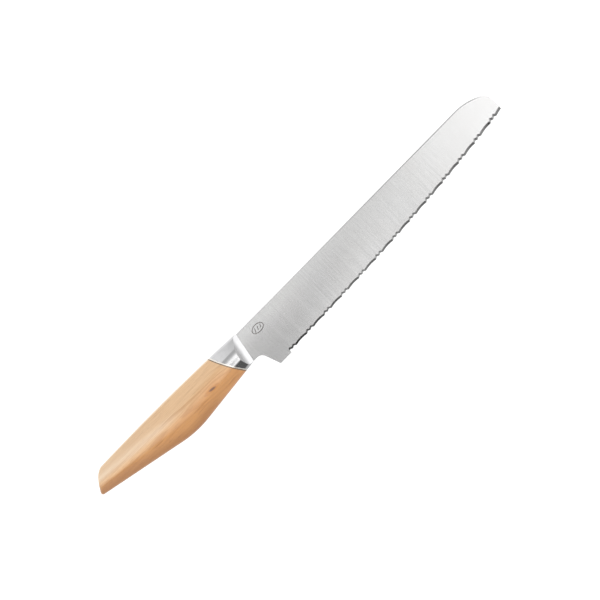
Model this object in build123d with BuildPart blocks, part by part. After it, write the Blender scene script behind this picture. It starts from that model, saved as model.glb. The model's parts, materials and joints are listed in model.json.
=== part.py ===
"""Bread knife: scalloped blade with hidden tang, steel bolster, one-piece wooden handle.

The knife is drawn in its own frame: u runs from the bolster towards the tip, v from the
edge towards the spine, and w is the distance from its middle plane, positive on the right
face. That frame is then laid on its left side, resting on the handle and the blade's tip.
"""

import os
from math import atan2, cos, degrees, radians, sin, tan

from build123d import *

os.makedirs("parts", exist_ok=True)

# ---------------------------------------------------------------- driving dimensions, mm

# Blade, measured from the bolster's foot at u = 0
SPINE_V = 5.75  # height of the straight spine at its root
SPINE_END = (210.3, 5.3)  # where the spine starts to drop
TIP_R = 40.0  # first, wide arc of the sheep's-foot tip
TIP_TURN = 27.5
NOSE_R = 9.5  # second, tighter arc, down to the edge
NOSE_TURN = 65.0
SPINE_T = 2.0  # stock thickness, kept by the root and the tang
GROUND_T = 1.95  # thickness left at the spine by the wedge grind
EDGE_T = 0.95  # and at the heel, before the bevel is ground
HEEL_V = -28.9  # blunt heel, below the first tooth
HEEL_U = 9.5
HEEL_R = 0.4
NECK_V = -14.95  # underside of the neck, in line with the bolster's belly
NECK_U = 4.8  # where neck and heel would meet
NECK_R = 5.0
SPINE_EASE = 0.3
PLUNGE_GAP = 0.25  # between the bolster's foot and the start of the ground faces
EDGE_STOCK = 12.0  # blank left below the heel, until the teeth are ground

# Scalloped edge: one wide scallop, then two narrow gullets
EDGE_U = (25.7, 228.2)  # first and last tooth of the repeating row
EDGE_V = -27.87
EDGE_RISE = (2.64, 3.68, 5.08)  # the row rises by a + b + c, weighted with t, t^2 and t^3
PERIODS = 12
NARROW_CHORD = 3.37
NARROW_DEPTH = 1.05
NARROW_R = 0.5
WIDE_DEPTH = 0.55
MIDDLE_TOOTH = 0.15  # how far the tooth between two gullets stands back
SERRATION_U = 19.75  # the blunt heel ends here
BEVEL_ANGLE = 35.0  # ground on the right face only

# Tang
TANG_FRONT_U = -6.5  # shoulders, inside the bolster
TANG_END_U = -88.0
TANG_V = (2.5, -10.5)  # at the shoulders
TANG_END_V = (-1.5, -8.0)
TANG_END_R = 2.8
TANG_NOTCH_R = 1.1
TANG_NOTCHES = 3

# Grip: the body that bolster and handle share
GRIP_FRONT_U = 5.0
GRIP_BACK_U = -139.0
SECTIONS = 25
CROWN_V = 8.97  # top line, an arc with its peak at CROWN_U
CROWN_U = -88.0
CROWN_R = 1600.0
BELLY_V = -14.93  # belly line at u = 0
BELLY_SLOPES = (0.101, -0.212)  # before and behind the knee
KNEE_U = -61.6
KNEE_REACH = 11.5  # the knee is rounded over this length, each way
HALF_MAX = 9.7  # half the thickness at HALF_U, across the shoulders before they are rounded
HALF_U = -72.0
HALF_R = 992.0
SHOULDER_SHARE = 0.55  # height of the shoulder, as a share of the section's height
RIDGE_SHARE = 0.342  # and of the side ridge below it
RIDGE_STEP = 0.3  # how much nearer the middle plane the ridge lies than the shoulder
CROWN_HALF = 2.3
BELLY_HALF = 2.8
CROWN_ROUND = 2.2
BELLY_ROUND = 4.2
SHOULDER_ROUND = (13.0, 4.6)  # its radius as far back as the knee, and at the butt
RIDGE_ROUND = (3.2, 7.0, 1.1)  # crisp at the front, soft at the knee, crisp again at the butt

# Butt: cut on the slant
BUTT_U, BUTT_V = -136.0, -4.9
BUTT_ANGLE = 35.2
BUTT_TOP_V = 8.4
BUTT_TOP_R = 13.0
BUTT_TOP_LEAD = 3.0  # its fillet runs out this far above the crown, so that it dies into it
BUTT_EASE = 1.6

# Bolster
FOOT_U = 1.07  # line where the cove runs out on the blade, at v = 0
FOOT_ANGLE = 11.5
FOOT_LIP = 0.3
COVE_R = 12.6
COVE_FOOT_SLOPE = 20.0
JOINT = ((-23.7, 12.0), (-17.3, -3.5), (-6.4, -20.0))  # arc between steel and wood
JOINT_EASE = 0.2
BRAZE_GAP = 0.12
BEDDING_GAP = 0.7

# Etched loaf mark
MARK_U, MARK_V = 15.5, -1.5
MARK_SIZE = (9.6, 5.8)
MARK_LINE = 0.45
MARK_DEPTH = 0.05
MARK_CUTS = 3
MARK_CUT_LENGTH = 2.9
MARK_CUT_SLANT = 60.0

# At rest the left face is level across its width, and the tip is pitched down to the surface
REST_PITCH = 1.718
REST_AT = (-49.308, 9.98, 7.9)  # where u = v = w = 0 comes to lie

PAST = 25.0  # how far cutting outlines run past the metal and the wood

# ------------------------------------------------------------------------ frame at rest

wedge_angle = degrees(atan2((GROUND_T - EDGE_T) / 2, SPINE_V - EDGE_V))
knife = Plane(Location(REST_AT, (wedge_angle, REST_PITCH, 0)))

toward_tip = Axis(knife.origin, knife.x_dir)
toward_spine = Axis(knife.origin, knife.y_dir)


def foot_u(v):
    """Where the bolster's foot line lies on the blade, at height v."""
    return FOOT_U + v * tan(radians(FOOT_ANGLE))


def across(u):
    """Plane square to the knife's length, with local x along v and local y along w."""
    return Plane(origin=knife.from_local_coords((u, 0, 0)), x_dir=knife.y_dir, z_dir=knife.x_dir)


def blade_face(side):
    """Plane of the ground right (+1) or left (-1) face, with local x along u."""
    rise = side * (GROUND_T / 2 - SPINE_V * tan(radians(wedge_angle)))
    normal = Vector(0, -sin(radians(wedge_angle)), side * cos(radians(wedge_angle)))
    out = knife.from_local_coords(normal) - knife.origin
    return Plane(origin=knife.from_local_coords((0, 0, rise)), x_dir=knife.x_dir, z_dir=out)


# ------------------------------------------------------------------------------- blade


def edge_line(u):
    """Height of the line through the teeth."""
    t = (u - EDGE_U[0]) / (EDGE_U[1] - EDGE_U[0])
    return EDGE_V + EDGE_RISE[0] * t + EDGE_RISE[1] * t**2 + EDGE_RISE[2] * t**3


def wide_scallop(start, end):
    """One long concave cut between two teeth."""
    middle = (start + end) / 2
    ThreePointArc(
        (start, edge_line(start)),
        (middle, edge_line(middle) + WIDE_DEPTH),
        (end, edge_line(end)),
    )


def narrow_pair(start):
    """Two V-shaped gullets with a lower tooth between them."""
    for count in range(2):
        first = start + count * NARROW_CHORD
        middle = first + NARROW_CHORD / 2
        last = first + NARROW_CHORD
        FilletPolyline(
            (first, edge_line(first) + MIDDLE_TOOTH * count),
            (middle, edge_line(middle) + NARROW_DEPTH),
            (last, edge_line(last) + MIDDLE_TOOTH * (1 - count)),
            radius=NARROW_R,
        )


period = (EDGE_U[1] - EDGE_U[0]) / PERIODS
grind = Vector(0, cos(radians(BEVEL_ANGLE)), sin(radians(BEVEL_ANGLE)))
grind_dir = knife.from_local_coords(grind) - knife.origin
left_face = blade_face(-1)
right_face = blade_face(1)
edge_plane = Plane(origin=left_face.origin, x_dir=knife.x_dir, z_dir=-left_face.z_dir)
row_start = EDGE_U[0] - 2 * NARROW_CHORD
row_end = EDGE_U[1] + period


def tang_outline(grow=0.0, notches=0):
    """Side view of the tang, tapering to a round end, and grown all round for a slot."""
    notch_step = (TANG_FRONT_U - TANG_END_U) / (notches + 2)
    with BuildSketch(knife) as outline:
        with BuildLine():
            Polyline(
                (TANG_FRONT_U, TANG_V[0]),
                (TANG_END_U, TANG_END_V[0]),
                (TANG_END_U, TANG_END_V[1]),
                (TANG_FRONT_U, TANG_V[1]),
                close=True,
            )
        make_face()
        fillet(outline.vertices().group_by(Axis.X)[0], radius=TANG_END_R)
        for count in range(notches):
            notch_u = TANG_FRONT_U - notch_step * (count + 2)
            share = (notch_u - TANG_FRONT_U) / (TANG_END_U - TANG_FRONT_U)
            top = TANG_V[0] + (TANG_END_V[0] - TANG_V[0]) * share
            low = TANG_V[1] + (TANG_END_V[1] - TANG_V[1]) * share
            with Locations((notch_u, top), (notch_u, low)):
                Circle(TANG_NOTCH_R, mode=Mode.SUBTRACT)
        if grow:
            offset(amount=grow)
    return outline.sketch


with BuildPart() as blade:
    # Stamped from flat stock: blade and root first, with the long spine edges eased
    with BuildSketch(knife):
        with BuildLine():
            spine = Line((TANG_FRONT_U, SPINE_V), SPINE_END)
            drop = JernArc(spine @ 1, spine % 1, TIP_R, -TIP_TURN)
            nose = JernArc(drop @ 1, drop % 1, NOSE_R, -NOSE_TURN)
            FilletPolyline(
                nose @ 1,
                (nose @ 1) + (nose % 1) * EDGE_STOCK,
                (SERRATION_U, HEEL_V - EDGE_STOCK),
                (SERRATION_U, HEEL_V),
                (HEEL_U, HEEL_V),
                (NECK_U, NECK_V),
                (TANG_FRONT_U, NECK_V),
                spine @ 0,
                radius=(0, 0, 0, HEEL_R, NECK_R, 0),
            )
        make_face()
    extrude(amount=SPINE_T / 2, both=True)
    spine_top = blade.faces().sort_by(toward_spine)[-1]
    fillet(spine_top.edges().sort_by(SortBy.LENGTH)[-2:], radius=SPINE_EASE)
    # Both faces ground to a wedge, from a plunge line just ahead of the bolster
    for side in (1, -1):
        with BuildSketch(blade_face(side)):
            with BuildLine():
                Polyline(
                    (foot_u(PAST) + PLUNGE_GAP, side * PAST),
                    (foot_u(-2 * PAST) + PLUNGE_GAP, side * -2 * PAST),
                    (SPINE_END[0] + PAST, side * -2 * PAST),
                    (SPINE_END[0] + PAST, side * PAST),
                    close=True,
                )
            make_face()
        extrude(amount=SPINE_T, mode=Mode.SUBTRACT)
    # Scallops, ground on the slant from the right so that the edge lies on the left face
    with BuildSketch(edge_plane):
        with BuildLine():
            narrow_pair(row_start)
            for count in range(PERIODS + 1):
                wide_start = EDGE_U[0] + count * period
                wide_end = wide_start + period - 2 * NARROW_CHORD
                wide_scallop(wide_start, wide_end)
                narrow_pair(wide_end)
            Polyline(
                (row_end, edge_line(row_end)),
                (row_end, EDGE_V - PAST),
                (row_start, EDGE_V - PAST),
                (row_start, edge_line(row_start)),
            )
        make_face()
        with Locations((SERRATION_U, EDGE_V)):
            Rectangle(row_end, 2 * PAST, align=(Align.MIN, Align.CENTER), mode=Mode.INTERSECT)
    extrude(amount=PAST, dir=grind_dir, both=True, mode=Mode.SUBTRACT)
    # Tang, in the full thickness of the stock
    extrude(tang_outline(notches=TANG_NOTCHES), amount=SPINE_T / 2, both=True)
    # Shallow etched mark: a plain scored loaf
    with BuildSketch(right_face):
        with Locations((MARK_U, MARK_V)):
            Ellipse(MARK_SIZE[0] / 2, MARK_SIZE[1] / 2)
            Ellipse(MARK_SIZE[0] / 2 - MARK_LINE, MARK_SIZE[1] / 2 - MARK_LINE, mode=Mode.SUBTRACT)
            with GridLocations(MARK_SIZE[0] / (MARK_CUTS + 1), 0, MARK_CUTS, 1):
                SlotOverall(MARK_CUT_LENGTH, MARK_LINE, rotation=MARK_CUT_SLANT)
    extrude(amount=-MARK_DEPTH, mode=Mode.SUBTRACT)
blade.part.label = "blade"

# -------------------------------------------------------------------------------- grip


def crown_line(u):
    """Height of the grip's top line."""
    return CROWN_V - (u - CROWN_U) ** 2 / (2 * CROWN_R)


def belly_line(u):
    """Height of the grip's underside: two straight runs and a rounded knee."""
    knee_v = BELLY_V + BELLY_SLOPES[0] * KNEE_U
    run = max(slope * (u - KNEE_U) for slope in BELLY_SLOPES)
    inside = max(KNEE_REACH - abs(u - KNEE_U), 0)
    return knee_v + run + (BELLY_SLOPES[0] - BELLY_SLOPES[1]) * inside**2 / (4 * KNEE_REACH)


def half_thickness(u):
    """Half the grip's thickness at its shoulders."""
    return HALF_MAX - (u - HALF_U) ** 2 / (2 * HALF_R)


def blend(pair, share):
    """Value between the two of a pair."""
    return pair[0] + (pair[1] - pair[0]) * share


def half_section(u):
    """Corners of the right half of the grip's section, each with its radius."""
    top, low = crown_line(u), belly_line(u)
    half = half_thickness(u)
    to_knee = min((GRIP_FRONT_U - u) / (GRIP_FRONT_U - KNEE_U), 1)
    past_knee = max(KNEE_U - u, 0) / (KNEE_U - GRIP_BACK_U)
    ridge_round = blend((blend(RIDGE_ROUND[:2], to_knee), RIDGE_ROUND[2]), past_knee)
    return (
        (top, CROWN_HALF, CROWN_ROUND),
        (blend((low, top), SHOULDER_SHARE), half, blend(SHOULDER_ROUND, past_knee)),
        (blend((low, top), RIDGE_SHARE), half - RIDGE_STEP, ridge_round),
        (low, BELLY_HALF, BELLY_ROUND),
    )


with BuildPart() as grip:
    for index in range(SECTIONS):
        section_u = blend((GRIP_FRONT_U, GRIP_BACK_U), index / (SECTIONS - 1))
        right = half_section(section_u)
        left = [(v, -w, radius) for v, w, radius in reversed(right)]
        with BuildSketch(across(section_u)):
            with BuildLine():
                FilletPolyline(
                    [(v, w) for v, w, radius in (*right, *left)],
                    radius=[radius for v, w, radius in (*right, *left)],
                    close=True,
                )
            make_face()
    loft()

# ----------------------------------------------------------------------------- bolster

foot = Vector(sin(radians(FOOT_ANGLE)), cos(radians(FOOT_ANGLE)))
foot_dir = knife.from_local_coords(foot) - knife.origin
foot_low = knife.from_local_coords((foot_u(BELLY_V - PAST), BELLY_V - PAST, 0))
cove_plane = Plane(origin=foot_low, x_dir=knife.z_dir.cross(foot_dir), z_dir=foot_dir)
cove_d = -COVE_R * sin(radians(COVE_FOOT_SLOPE))
cove_w = SPINE_T / 2 + FOOT_LIP + COVE_R * cos(radians(COVE_FOOT_SLOPE))

with BuildPart() as bolster_blank:
    add(grip.part)
    with BuildSketch(knife):
        with BuildLine():
            joint = ThreePointArc(*JOINT)
            low_front = (foot_u(BELLY_V - PAST), BELLY_V - PAST)
            top_front = (foot_u(CROWN_V + PAST), CROWN_V + PAST)
            Polyline(joint @ 1, low_front, top_front, joint @ 0)
        make_face()
    extrude(amount=PAST, both=True, mode=Mode.INTERSECT)
    with BuildSketch(cove_plane):
        with Locations((cove_d, cove_w), (cove_d, -cove_w)):
            Circle(COVE_R)
    extrude(amount=4 * PAST, mode=Mode.SUBTRACT)
    joint_face = bolster_blank.faces().sort_by(toward_tip)[0]
    chamfer(joint_face.edges(), length=JOINT_EASE)

with BuildPart() as slot:
    with BuildSketch(knife):
        with BuildLine():
            Polyline(
                (TANG_FRONT_U - BRAZE_GAP, SPINE_V + BRAZE_GAP),
                (PAST, SPINE_V + BRAZE_GAP),
                (PAST, -PAST),
                (TANG_FRONT_U - BRAZE_GAP, -PAST),
                close=True,
            )
        make_face()
    extrude(amount=SPINE_T / 2 + BRAZE_GAP, both=True)
    extrude(tang_outline(grow=BRAZE_GAP), amount=SPINE_T / 2 + BRAZE_GAP, both=True)

with BuildPart() as bolster:
    add(bolster_blank.part)
    add(slot.part, mode=Mode.SUBTRACT)
bolster.part.label = "bolster"

with BuildPart() as bolster_braze:
    add(bolster_blank.part)
    add(slot.part, mode=Mode.INTERSECT)
    add(blade.part, mode=Mode.SUBTRACT)
bolster_braze.part.label = "bolster_braze"

# ------------------------------------------------------------------------------ handle

butt_corner_u = BUTT_U + (BUTT_TOP_V - BUTT_V) * tan(radians(BUTT_ANGLE))

with BuildPart() as handle_blank:
    add(grip.part)
    with BuildSketch(knife):
        with BuildLine():
            joint = ThreePointArc(*JOINT)
            FilletPolyline(
                joint @ 1,
                (joint @ 1) + Vector(0, -PAST),
                (BUTT_U - PAST * tan(radians(BUTT_ANGLE)), BUTT_V - PAST),
                (butt_corner_u, BUTT_TOP_V),
                (CROWN_U, CROWN_V + BUTT_TOP_LEAD),
                joint @ 0,
                radius=(0, 0, BUTT_TOP_R, 0),
            )
        make_face()
    extrude(amount=PAST, both=True, mode=Mode.INTERSECT)
    butt_face = handle_blank.faces().sort_by(toward_tip)[0]
    fillet(butt_face.edges(), radius=BUTT_EASE)

with BuildPart() as pocket:
    extrude(tang_outline(grow=BEDDING_GAP), amount=SPINE_T / 2 + BEDDING_GAP, both=True)

with BuildPart() as handle:
    add(handle_blank.part)
    add(pocket.part, mode=Mode.SUBTRACT)
handle.part.label = "handle"

with BuildPart() as tang_bedding:
    add(handle_blank.part)
    add(pocket.part, mode=Mode.INTERSECT)
    add(blade.part, mode=Mode.SUBTRACT)
tang_bedding.part.label = "tang_bedding"

# -------------------------------------------------------------------------------- files

for piece in (blade, bolster, bolster_braze, handle, tang_bedding):
    export_step(piece.part, f"parts/{piece.part.label}.step")
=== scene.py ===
"""Bread knife lying on a pale table: materials, soft studio light and the camera above it.

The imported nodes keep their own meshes. Each one gets a procedural material, worked out in
millimetres of the knife's own frame: u towards the tip, v towards the spine, w up.
"""

import json
import math

import bpy
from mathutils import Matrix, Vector


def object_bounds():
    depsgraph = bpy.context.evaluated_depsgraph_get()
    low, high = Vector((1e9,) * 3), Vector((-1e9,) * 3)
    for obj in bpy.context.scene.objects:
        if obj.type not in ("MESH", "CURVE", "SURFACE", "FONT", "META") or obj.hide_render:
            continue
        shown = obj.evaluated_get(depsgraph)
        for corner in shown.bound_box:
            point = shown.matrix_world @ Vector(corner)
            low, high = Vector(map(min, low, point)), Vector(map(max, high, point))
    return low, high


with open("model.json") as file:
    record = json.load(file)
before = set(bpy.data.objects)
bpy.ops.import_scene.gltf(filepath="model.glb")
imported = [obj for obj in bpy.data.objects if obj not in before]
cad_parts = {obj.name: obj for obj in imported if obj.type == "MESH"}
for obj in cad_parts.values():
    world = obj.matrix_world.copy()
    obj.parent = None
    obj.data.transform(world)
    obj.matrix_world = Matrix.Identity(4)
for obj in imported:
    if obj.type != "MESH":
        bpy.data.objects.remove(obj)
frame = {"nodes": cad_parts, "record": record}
cad_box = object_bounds()

MM = 0.001
MOUNTS = {mount["name"]: mount for mount in frame["record"]["mounts"]}

# ------------------------------------------------------------------ the knife's own frame

KNIFE_ORIGIN = Vector((-49.308, 9.98, 7.9))  # where u = v = w = 0 lies, in mm
ALONG = Vector(MOUNTS["block_slot"]["axis"])  # u, towards the tip
UP = (Vector(MOUNTS["right_face"]["axis"]) - Vector(MOUNTS["left_face"]["axis"])).normalized()  # w
ACROSS = UP.cross(ALONG)  # v, towards the spine

# ------------------------------------------------------- places on the knife, in u, v and w
# An arc is (centre u, centre v, radius), and a line is (v at u = 0, slope).

# blade
TIP_ARC = (210.2, -34.7, 40.0)
NOSE_ARC = (224.36, -7.68, 9.5)  # tangent to the tip's arc
SPINE_SLOPE = 0.0021  # the spine falls this much towards the tip
RIM = (0.80, 0.45)  # the painted dark rim grows between these distances from the outline
ETCH_DEPTH = 0.05  # of the mark, below the right face
MARK_END_U = 30.0
BEVEL_V = -12.0  # the ground bevel lies below this
PATCH_U = 110.0  # the slanted axis of the patch of painted shade crosses v = 0 here
PATCH_SLANT = 4.2  # and gains this much u for each millimetre of v
PATCH_HALF = 62.0
PATCH_START_U = 15.0  # the patch fades from here on
PATCH_LENGTH = 110.0
BAND_U = 146.0  # a faint band of painted shade across the blade
BAND_HALF = 32.0

# bolster
JOINT_ARC = (67.16, 40.45, 95.21)  # joint of wood and bolster
RIDGE_V = -5.0  # painted highlight along the ridge on the side
RIDGE_HALF = 2.3
RIDGE_END = (-6.2, -7.8)  # u where it is gone, at the cove, and where it is full

# handle
RING_LINE = (-11.0, -0.07)  # axis of the growth rings
RING_W = 2.0
RING_FLATTEN = 0.55
RING_WIDTH = 2.1
HEART_LINE = (-13.8, -0.10)  # top of the heartwood towards the butt
HEART_V = -5.5  # and in front of that
SHEEN_LINE = (-9.6, -0.10)  # streak of painted sheen along the shoulder
SHEEN_HALF = 2.3
BELLY_LINES = ((-33.8, -0.213), (-14.6, 0.0915))  # behind and in front of the knee
KNOT = (-34.3, -8.2)
KNOT_BEND = (13.0, 4.5)  # the grain bends round it this far out, in u and in v
KNOT_SIZE = (3.3, 0.95)
KNOT_SLOPE = -0.12

# -------------------------------------------------------------------------------- colours


def grey(level):
    return (level, level, level, 1)


SATIN = (grey(0.61), grey(0.635))
CLOUDED = (0.60, 0.59, 0.58, 1)
PAINTED_SHADE_GREY = grey(0.28)
PAINTED_DARK_RIM = grey(0.16)
SHADED_BEVEL = grey(0.10)
ETCHED = (0.04, 0.032, 0.026, 1)

BOLSTER_TINT = (0.66, 0.66, 0.67, 1)
BRAZE_TINT = (0.62, 0.60, 0.56, 1)
PAINTED_RIDGE_HIGHLIGHT = (0.93, 0.93, 0.94, 1)
MATT_SEAM_HIGHLIGHT = (0.88, 0.84, 0.78, 1)

PALE_WOOD_AND_SHEEN = (0.67, 0.410, 0.195, 1)
HEARTWOOD = (0.56, 0.262, 0.078, 1)
TANNED = (0.46, 0.245, 0.100, 1)
LATEWOOD = (0.42, 0.175, 0.045, 1)
FIBRE = (0.45, 0.220, 0.07, 1)
PORE = (0.26, 0.12, 0.045, 1)
SHEEN_STREAK = (0.86, 0.68, 0.50, 1)
BELLY_SHADE = (0.36, 0.130, 0.035, 1)
BELLY_EDGE_SHADE = (0.30, 0.120, 0.030, 1)
FLECK = (0.26, 0.095, 0.025, 1)
KNOT_HALO = (0.50, 0.190, 0.020, 1)
KNOT_HEART = (0.13, 0.038, 0.001, 1)
CROWN_HIGHLIGHT = (0.80, 0.66, 0.48, 1)
JOINT_SHADE = (0.10, 0.060, 0.030, 1)

EPOXY = ((0.50, 0.38, 0.20, 1), (0.62, 0.50, 0.30, 1))

# ------------------------------------------------------------------- the way nodes are made


class Graph:
    """A node tree with short calls for the nodes that the materials need."""

    def __init__(self, tree):
        self.tree = tree
        tree.nodes.clear()

    def node(self, kind, inputs=(), **settings):
        made = self.tree.nodes.new(kind)
        for name, value in settings.items():
            setattr(made, name, value)
        for key, value in dict(inputs).items():
            if isinstance(value, bpy.types.NodeSocket):
                self.tree.links.new(value, made.inputs[key])
            else:
                made.inputs[key].default_value = value
        return made

    def math(self, operation, *values, clamp=False):
        made = self.node("ShaderNodeMath", enumerate(values), operation=operation, use_clamp=clamp)
        return made.outputs[0]

    def times(self, product, *factors):
        for factor in factors:
            product = self.math("MULTIPLY", product, factor)
        return product

    def squares(self, first, *others):
        """The sum of the squares of the values."""
        total = self.math("MULTIPLY", first, first)
        for value in others:
            total = self.math("MULTIPLY_ADD", value, value, total)
        return total

    def bell(self, *offsets):
        """1 where all the offsets are 0, and falling off smoothly around that."""
        return self.math("POWER", math.e, self.times(self.squares(*offsets), -1.0))

    def offset(self, value, middle, half):
        return self.math("DIVIDE", self.math("SUBTRACT", value, middle), half)

    def remap(self, value, low, high, to_low=0.0, to_high=1.0, smooth=True):
        made = self.node(
            "ShaderNodeMapRange",
            {0: value, 1: low, 2: high, 3: to_low, 4: to_high},
            interpolation_type="SMOOTHSTEP" if smooth else "LINEAR",
        )
        return made.outputs[0]

    def between(self, share, first, second):
        """A number between two others."""
        made = self.node("ShaderNodeMix", {0: share, 2: first, 3: second}, data_type="FLOAT")
        return made.outputs[0]

    def mix(self, share, first, second):
        """A colour between two others."""
        made = self.node("ShaderNodeMix", {0: share, 6: first, 7: second}, data_type="RGBA")
        return made.outputs[2]

    def layers(self, colour, *layers):
        """A colour with others over it, each given as (share, colour)."""
        for share, over in layers:
            colour = self.mix(share, colour, over)
        return colour

    def ramp(self, value, stops):
        made = self.node("ShaderNodeValToRGB", {0: value})
        elements = made.color_ramp.elements
        while len(elements) < len(stops):
            elements.new(0.5)
        for element, (place, colour) in zip(elements, stops):
            element.position = place
            element.color = colour
        return made.outputs[0]

    def scale(self, vector, factors):
        return self.node("ShaderNodeVectorMath", {0: vector, 1: factors}, operation="MULTIPLY").outputs[0]

    def dot(self, first, second):
        made = self.node("ShaderNodeVectorMath", {0: first, 1: second}, operation="DOT_PRODUCT")
        return made.outputs["Value"]

    def split(self, vector):
        return self.node("ShaderNodeSeparateXYZ", {0: vector}).outputs

    def join(self, x, y, z):
        return self.node("ShaderNodeCombineXYZ", {0: x, 1: y, 2: z}).outputs[0]

    def noise(self, place, scale, detail=2.0, roughness=0.5):
        inputs = {"Vector": place, "Scale": scale, "Detail": detail, "Roughness": roughness}
        return self.node("ShaderNodeTexNoise", inputs).outputs["Fac"]

    def streaks(self, place, waves, detail=2.0, roughness=0.5):
        """Noise with its own number of waves per millimetre along u, v and w."""
        return self.noise(self.scale(place, waves), 1.0, detail, roughness)

    def point(self):
        """The shaded point, in metres of the shared frame."""
        return self.node("ShaderNodeTexCoord").outputs["Object"]

    def knife_mm(self):
        """The shaded point, in millimetres of the knife's own frame."""
        inputs = {0: self.point(), 1: KNIFE_ORIGIN * MM}
        offset = self.node("ShaderNodeVectorMath", inputs, operation="SUBTRACT").outputs[0]
        return self.join(*(self.dot(offset, axis / MM) for axis in (ALONG, ACROSS, UP)))

    def facing(self, axis):
        """How far the surface faces along an axis, from -1 to 1."""
        return self.dot(self.node("ShaderNodeNewGeometry").outputs["True Normal"], axis)

    def on_line(self, u, line):
        """v on a line, at u."""
        at_zero, slope = line
        return self.math("MULTIPLY_ADD", u, slope, at_zero)

    def outside(self, u, v, arc):
        """Distance outwards from an arc."""
        centre_u, centre_v, radius = arc
        du = self.math("SUBTRACT", u, centre_u)
        dv = self.math("SUBTRACT", v, centre_v)
        return self.math("SUBTRACT", self.math("SQRT", self.squares(du, dv)), radius)

    def bump(self, height, distance_mm, strength):
        inputs = {"Height": height, "Distance": distance_mm * MM, "Strength": strength}
        return self.node("ShaderNodeBump", inputs).outputs[0]

    def surface(self, inputs):
        """The material's shader, with its sockets linked or set."""
        shader = self.node("ShaderNodeBsdfPrincipled", inputs)
        self.node("ShaderNodeOutputMaterial", {"Surface": shader.outputs[0]})


def material(name):
    made = bpy.data.materials.new(name)
    made.use_nodes = True
    return made, Graph(made.node_tree)


# ---------------------------------------------------------------------------------- steel


def etched_mark(g, u):
    """1 on the floor of the mark, which lies just below the plane of the right face."""
    face = MOUNTS["right_face"]
    normal = Vector(face["axis"])
    above = g.math("SUBTRACT", g.dot(g.point(), normal), normal.dot(Vector(face["pos_m"])))
    low_enough = g.math("LESS_THAN", above, -0.5 * ETCH_DEPTH * MM)
    high_enough = g.math("GREATER_THAN", above, -2.0 * ETCH_DEPTH * MM)
    return g.times(low_enough, high_enough, g.math("LESS_THAN", u, MARK_END_U))


def painted_rim_shade(g, u, v):
    """Painted dark reflection on the rim of the stamped outline, along the spine and round the tip."""
    tip_u, tip_v, _ = TIP_ARC
    nose_u, nose_v, _ = NOSE_ARC
    # before the tip's arc the spine runs straight, and rises away from it
    before_tip = g.math("MINIMUM", g.math("SUBTRACT", u, tip_u), 0.0)
    level_v = g.math("MULTIPLY_ADD", before_tip, SPINE_SLOPE, v)
    from_tip = g.outside(g.math("MAXIMUM", u, tip_u), level_v, TIP_ARC)
    # the arcs meet on the line through their centres
    lean = (nose_u - tip_u) / (nose_v - tip_v)
    past_tip = g.math("GREATER_THAN", g.math("MULTIPLY_ADD", v, -lean, u), tip_u - lean * tip_v)
    beyond = g.between(past_tip, from_tip, g.outside(u, v, NOSE_ARC))
    rim = g.remap(beyond, -RIM[0], -RIM[1])
    # faint at the heel, strongest before the nose
    return g.times(rim, g.remap(u, 30.0, 200.0, 0.10, 0.75), g.remap(u, 232.0, 222.0))


def painted_shade_areas(g, u, v):
    """Shares of painted shade: the slanted patch, the heel, and the band across the blade."""
    slant = g.offset(g.math("MULTIPLY_ADD", v, -PATCH_SLANT, u), PATCH_U, PATCH_HALF)
    away = g.math("MAXIMUM", g.offset(u, PATCH_START_U, PATCH_LENGTH), 0.0)
    shade_patch = g.times(g.bell(slant, away), 0.40)
    heel_shade = g.times(g.remap(u, 50.0, 8.0, 0.0, 0.36), g.remap(v, 3.0, -9.0, 0.2, 1.0))
    shade_band = g.times(g.bell(g.offset(u, BAND_U, BAND_HALF)), 0.12)
    return shade_patch, heel_shade, shade_band


def blade_steel():
    """Satin stainless steel, brushed across the blade, with a dark etched mark."""
    made, g = material("blade_steel")
    place = g.knife_mm()
    u, v, _ = g.split(place)
    # brush lines run along v: both widths of streak are long in v and narrow in u
    fine = g.streaks(place, (5.0, 0.12, 0.12), 3.0, 0.6)
    wide = g.streaks(place, (0.9, 0.02, 0.02))
    streak = g.math("ADD", g.times(fine, 0.55), g.times(wide, 0.45))
    cloud = g.noise(place, 0.035)
    etched = etched_mark(g, u)
    # the scallops are ground finer than the satin faces, and painted shade darkens them near the heel
    ground = g.times(g.remap(g.facing(UP), 0.93, 0.88), g.math("LESS_THAN", v, BEVEL_V))
    colour = g.layers(
        g.mix(g.remap(streak, 0.35, 0.65), *SATIN),
        (g.remap(cloud, 0.3, 0.7, 0.0, 0.35), CLOUDED),
        # painted shade: the darker patch, heel and band stand in for the blade's darker reflections
        *((share, PAINTED_SHADE_GREY) for share in painted_shade_areas(g, u, v)),
        # painted dark reflection along the spine and round the tip
        (painted_rim_shade(g, u, v), PAINTED_DARK_RIM),
        (g.times(ground, g.remap(u, 85.0, 15.0, 0.0, 0.85)), SHADED_BEVEL),
        (g.times(etched, 0.92), ETCHED),
    )
    rough = g.remap(streak, 0.3, 0.7, 0.21, 0.24)
    rough = g.math("MULTIPLY_ADD", etched, 0.25, rough)
    rough = g.math("MULTIPLY_ADD", ground, -0.14, rough)
    height = g.math("ADD", g.times(fine, 0.6), g.times(wide, 0.4))
    g.surface({
        "Base Color": colour,
        "Roughness": rough,
        "Metallic": 1.0,
        "Anisotropic": 0.4,
        "Tangent": g.join(1.0, 0.0, 0.0),
        "Normal": g.bump(height, 0.02, 0.5),
    })
    return made


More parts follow.
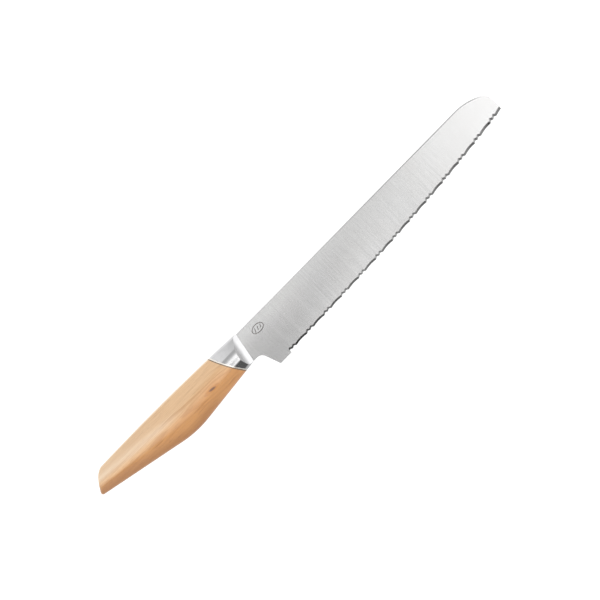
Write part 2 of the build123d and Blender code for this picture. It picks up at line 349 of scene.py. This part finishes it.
def polished_steel(name, tint):
    """Polished metal with faint buffing marks and smudges, a painted highlight on the ridge, matt at the
    joint under a painted highlight.
    """
    made, g = material(name)
    place = g.knife_mm()
    u, v, _ = g.split(place)
    buff = g.streaks(place, (1.2, 6.0, 6.0), 3.0, 0.6)
    smudge = g.noise(place, 0.25, 3.0, 0.55)
    painted_ridge = g.bell(g.offset(v, RIDGE_V, RIDGE_HALF))
    # a matt band along the joint, its lighter colour a painted highlight
    matt_lit_seam = g.remap(g.outside(u, v, JOINT_ARC), -1.1, -0.7)
    smudged = (*(0.95 * part for part in tint[:3]), 1)
    colour = g.layers(
        tint,
        (g.remap(smudge, 0.35, 0.7), smudged),
        # painted highlight along the ridge
        (g.times(painted_ridge, g.remap(u, *RIDGE_END, 0.0, 0.9)), PAINTED_RIDGE_HIGHLIGHT),
        (matt_lit_seam, MATT_SEAM_HIGHLIGHT),
    )
    rough = g.math("ADD", g.remap(buff, 0.3, 0.7, 0.09, 0.14), g.remap(smudge, 0.45, 0.7, 0.0, 0.05))
    g.surface({
        "Base Color": colour,
        "Roughness": g.math("MULTIPLY_ADD", matt_lit_seam, 0.4, rough),
        "Metallic": 1.0,
        "Normal": g.bump(buff, 0.006, 0.2),
    })
    return made


# ----------------------------------------------------------------------------------- wood


def growth_rings(g, place, near_knot):
    """Latewood of rings round an axis under the right side, pushed apart round the knot."""
    u, v, w = g.split(place)
    ring_v = g.math("SUBTRACT", v, g.on_line(u, RING_LINE))
    ring_w = g.times(g.math("SUBTRACT", w, RING_W), RING_FLATTEN)
    radius = g.math("SQRT", g.squares(ring_v, ring_w))
    # slow wander and quicker wobble of the grain, both stretched along the handle
    wander = g.streaks(place, (0.012, 0.05, 0.05))
    wobble = g.streaks(place, (0.04, 0.28, 0.28))
    for share, push in ((near_knot, -3.2), (wander, 9.0), (wobble, 1.6)):
        radius = g.math("MULTIPLY_ADD", share, push, radius)
    # one number per ring sets how strong it is
    count = g.math("DIVIDE", radius, RING_WIDTH)
    season = g.noise(g.join(g.math("FLOOR", count), 0.5, 0.5), 0.83, 0.0)
    ring = g.math("FRACT", count)
    late = g.times(g.remap(ring, 0.30, 0.90), g.remap(ring, 1.0, 0.92))
    return g.times(late, g.remap(season, 0.35, 0.65, 0.25, 1.0))


def knot_marks(g, knot_u, knot_v, w, fibre):
    """Halo and heart of the knot: a slim streak along the grain, on the right side only."""
    along = g.math("DIVIDE", knot_u, KNOT_SIZE[0])
    across = g.math("DIVIDE", g.math("MULTIPLY_ADD", knot_u, -KNOT_SLOPE, knot_v), KNOT_SIZE[1])
    spread = g.math("MULTIPLY_ADD", fibre, 0.8, g.squares(along, across))
    right_side = g.math("GREATER_THAN", w, 0.0)
    halo = g.times(g.remap(spread, 4.5, 1.0), right_side)
    heart = g.times(g.remap(spread, 1.6, 0.5), right_side)
    return halo, heart


def handle_wood():
    """Light oiled hardwood: long straight grain that bends round a knot near the bolster."""
    made, g = material("handle_wood")
    place = g.knife_mm()
    u, v, w = g.split(place)
    knot_u = g.math("SUBTRACT", u, KNOT[0])
    knot_v = g.math("SUBTRACT", v, KNOT[1])
    near_knot = g.bell(g.math("DIVIDE", knot_u, KNOT_BEND[0]), g.math("DIVIDE", knot_v, KNOT_BEND[1]))
    late = growth_rings(g, place, near_knot)
    fibre = g.streaks(place, (0.05, 2.0, 2.0), 4.0, 0.65)
    pore = g.remap(g.streaks(place, (0.14, 3.2, 3.2), 2.0, 0.6), 0.58, 0.70)

    # redder heartwood in the lower half and round the knot, paler wood above, lightened in part as a
    # painted sheen
    tone = g.streaks(place, (0.02, 0.10, 0.10))
    heart_top = g.math("MAXIMUM", g.on_line(u, HEART_LINE), HEART_V)
    heart = g.remap(g.math("SUBTRACT", v, heart_top), 2.5, -3.5)
    heart = g.math("ADD", heart, g.times(g.math("SUBTRACT", tone, 0.5), 0.6))
    heart = g.math("MAXIMUM", heart, near_knot, clamp=True)
    # the upper side is tanned towards the butt, with a streak of painted sheen below it
    tanned = g.times(g.remap(v, 1.0, 3.5), g.remap(u, -60.0, -100.0, 0.0, 0.30))
    painted_sheen = g.bell(g.offset(v, g.on_line(u, SHEEN_LINE), SHEEN_HALF))
    painted_sheen = g.times(painted_sheen, g.remap(u, -50.0, -85.0, 0.0, 0.65), g.remap(fibre, 0.3, 0.7, 1.0, 0.6))
    # painted shade darkens the belly, most of all at its edge, and short brown flecks show in it
    lean = g.facing(ACROSS)
    above_belly = g.math("SUBTRACT", v, g.math("MAXIMUM", *(g.on_line(u, line) for line in BELLY_LINES)))
    belly_edge_shade = g.times(g.remap(above_belly, 7.5, 1.0, 0.0, 0.7), g.remap(u, -24.0, -48.0, 0.2, 1.0))
    fleck = g.streaks(place, (0.045, 0.75, 0.75), 2.0, 0.6)
    fleck = g.times(g.remap(fleck, 0.58, 0.68), g.remap(lean, -0.2, -0.45))
    halo, knot_heart = knot_marks(g, knot_u, knot_v, w, fibre)

    colour = g.layers(
        # pale wood, lightened in part as a painted sheen on the upper side
        PALE_WOOD_AND_SHEEN,
        (heart, HEARTWOOD),
        (tanned, TANNED),
        (g.times(late, g.remap(v, 3.0, -4.0, 0.24, 0.55)), LATEWOOD),
        (g.remap(fibre, 0.42, 0.66, 0.0, 0.42), FIBRE),
        (g.times(pore, 0.35), PORE),
        # painted sheen along the shoulder
        (painted_sheen, SHEEN_STREAK),
        # painted shade on the belly, darkest at its edge
        (g.remap(lean, -0.45, -1.0, 0.0, 0.65), BELLY_SHADE),
        (belly_edge_shade, BELLY_EDGE_SHADE),
        (g.times(fleck, 0.45), FLECK),
        (g.times(halo, 0.65), KNOT_HALO),
        (g.times(knot_heart, 0.95), KNOT_HEART),
        # painted highlight on the crown, where the surface faces the spine
        (g.remap(lean, 0.35, 0.85, 0.0, 0.55), CROWN_HIGHLIGHT),
        # painted shade along the joint with the bolster
        (g.remap(g.outside(u, v, JOINT_ARC), 0.75, 0.35, 0.0, 0.85), JOINT_SHADE),
    )
    g.surface({
        "Base Color": colour,
        "Roughness": g.remap(fibre, 0.3, 0.7, 0.42, 0.55),
        "IOR": 1.5,
        "Coat Weight": 1.0,
        "Coat Roughness": 0.35,
        "Coat IOR": 1.7,
        "Normal": g.bump(g.math("SUBTRACT", g.times(fibre, 0.5), pore), 0.03, 0.35),
    })
    return made


def cured_epoxy():
    """Honey-coloured resin, hidden round the tang."""
    made, g = material("cured_epoxy")
    cloud = g.noise(g.knife_mm(), 0.4, 3.0)
    g.surface({
        "Base Color": g.mix(cloud, *EPOXY),
        "Roughness": g.remap(cloud, 0.3, 0.7, 0.35, 0.5),
        "Normal": g.bump(cloud, 0.05, 0.4),
    })
    return made


# ------------------------------------------------------------------------ table and light

TABLE_SIZE = 6.0
TABLE_GLOW = 0.90

# brightness of the tent's bands, by how far they lean towards the spine
BANDS = (
    (-1.0, 0.07), (-0.74, 0.07), (-0.62, 0.28), (-0.42, 0.62), (-0.22, 1.0), (0.20, 1.0),
    (0.36, 0.76), (0.48, 0.47), (0.60, 0.33), (0.775, 0.32), (0.825, 0.62), (1.0, 0.62),
)
ROOF = 1.78
OPENING_ALONG = 0.082  # the camera's opening in the roof, a little towards the tip
OPENING_HALF = (0.11, 0.33)  # along the knife and across it
OPENING_DEPTH = 0.88  # share of the roof's light that it takes away
TENT_WHITE = (1.0, 0.998, 0.995, 1)

KEY_PLACE = (0.1, -1.25, 0.6)
KEY_SIZE = 0.8
KEY_POWER = 6.5


def table_top():
    """A wide white acrylic table, softly lit from below."""
    bpy.ops.mesh.primitive_plane_add(size=TABLE_SIZE, location=(0, 0, cad_box[0].z))
    floor = bpy.context.object
    floor.name = "table"
    made, g = material("pale_table")
    mottle = g.noise(g.point(), 40.0)
    g.surface({
        "Base Color": g.mix(mottle, grey(0.25), grey(0.27)),
        "Roughness": g.remap(mottle, 0.3, 0.7, 0.75, 0.85),
        "Emission Color": grey(1.0),
        "Emission Strength": TABLE_GLOW,
    })
    floor.visible_glossy = False
    floor.data.materials.append(made)


def tent_level(g, along, side, up):
    """The tent as the glossy surfaces see it: camera opening on top, dark flag on the edge side."""
    stops = [((lean + 1) / 2, grey(level)) for lean, level in BANDS]
    bands = g.ramp(g.math("MULTIPLY_ADD", side, 0.5, 0.5), stops)
    along_half, side_half = OPENING_HALF
    opening = g.bell(g.offset(along, OPENING_ALONG, along_half), g.math("DIVIDE", side, side_half))
    roof = g.math("MULTIPLY_ADD", opening, -OPENING_DEPTH * ROOF, ROOF)
    # brighter from just past the opening towards the tip's end, dimmer again low down at that end
    roof = g.math("ADD", roof, g.remap(along, 0.155, 0.24, 0.0, 1.2, smooth=False))
    roof = g.times(roof, g.remap(along, 0.3, 0.7, 1.0, 0.52))
    # near the table's level and below it the tent gives way to the table's own light
    table = g.math("MULTIPLY_ADD", side, 0.25, 0.90)
    return g.between(g.remap(up, 0.42, 0.0), g.times(bands, roof), table)


def light_tent():
    """Even white light all round, with the tent's bands in the reflections only."""
    world = bpy.data.worlds.new("light_tent")
    bpy.context.scene.world = world
    world.use_nodes = True
    world.cycles.sampling_method = "NONE"
    g = Graph(world.node_tree)
    along, side, up = g.split(g.node("ShaderNodeTexCoord").outputs["Generated"])
    rays = g.node("ShaderNodeLightPath").outputs
    even = g.between(rays["Is Camera Ray"], g.math("MULTIPLY_ADD", side, 0.15, 1.08), 1.0)
    strength = g.between(rays["Is Glossy Ray"], even, tent_level(g, along, side, up))
    sky = g.node("ShaderNodeBackground", {"Color": TENT_WHITE, "Strength": strength})
    g.node("ShaderNodeOutputWorld", {"Surface": sky.outputs[0]})


def key_light():
    """A square soft light, aimed at the middle of the knife and unseen in the reflections."""
    data = bpy.data.lights.new("key_light", "AREA")
    data.shape = "SQUARE"
    data.size = KEY_SIZE
    data.energy = KEY_POWER
    lamp = bpy.data.objects.new("key_light", data)
    lamp.location = KEY_PLACE
    lamp.rotation_euler = (-Vector(KEY_PLACE)).to_track_quat("-Z", "Y").to_euler()
    lamp.visible_camera = False
    lamp.visible_glossy = False
    bpy.context.scene.collection.objects.link(lamp)


# ------------------------------------------------------------------------------- camera

VIEW_TURN = 45.64  # the knife's length runs up to the right at this angle
VIEW_WIDTH = 0.3986  # of the view, at the height of the knife's middle plane
VIEW_CENTRE = (-0.0009, 0.0014)
VIEW_HEIGHT = 0.0065  # of that plane
LENS = 150.0


def camera_above():
    """Straight down, turned so that the knife lies on the diagonal."""
    data = bpy.data.cameras.new("camera")
    data.lens = LENS
    camera = bpy.data.objects.new("camera", data)
    camera.location = (*VIEW_CENTRE, VIEW_HEIGHT + VIEW_WIDTH * LENS / data.sensor_width)
    camera.rotation_euler = (0, 0, -math.radians(VIEW_TURN))
    bpy.context.scene.collection.objects.link(camera)
    bpy.context.scene.camera = camera


# -------------------------------------------------------------------------- put together

finishes = {
    "blade": blade_steel(),
    "bolster": polished_steel("bolster_steel", BOLSTER_TINT),
    "bolster_braze": polished_steel("braze", BRAZE_TINT),
    "handle": handle_wood(),
    "tang_bedding": cured_epoxy(),
}
for node_name, finish in finishes.items():
    slots = frame["nodes"][node_name].data.materials
    slots.clear()
    slots.append(finish)

table_top()
light_tent()
key_light()
camera_above()
bpy.context.scene.view_settings.view_transform = "Standard"
